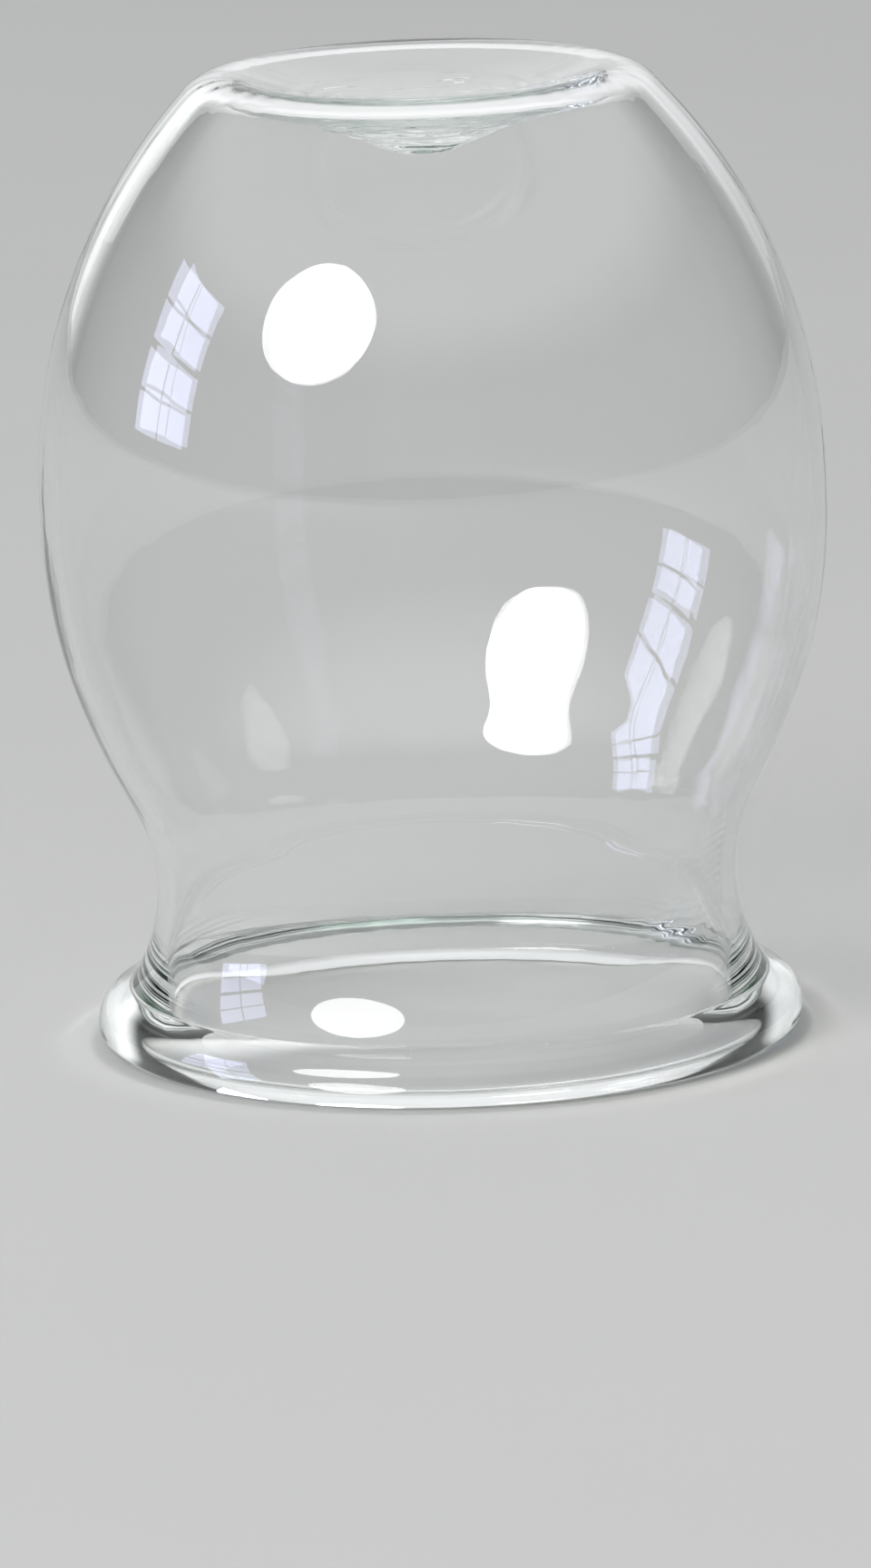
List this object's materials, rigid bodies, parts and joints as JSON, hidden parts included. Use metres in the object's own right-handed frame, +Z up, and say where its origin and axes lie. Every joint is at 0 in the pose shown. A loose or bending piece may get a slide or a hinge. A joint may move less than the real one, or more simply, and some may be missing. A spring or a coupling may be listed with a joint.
{
  "type": "cupping glass",
  "caption": "Hand-blown clear cupping glass with a round bulb, drawn-in neck, folded rim and dished crown; set mouth-down on the skin, it holds by suction.",
  "frame": {"origin": "centre of the rim's seat, on the axis", "axes": "+Z up along the glass's axis, from the mouth to the crown; the body is round, so X and Y are free"},
  "size_m": [0.0598, 0.0598, 0.0744],
  "materials": {
    "clear_glass": "fire-polished"
  },
  "bodies": {
    "root": {"blown_cup": "clear_glass", "folded_rim": "clear_glass"}
  },
  "joints": []
}
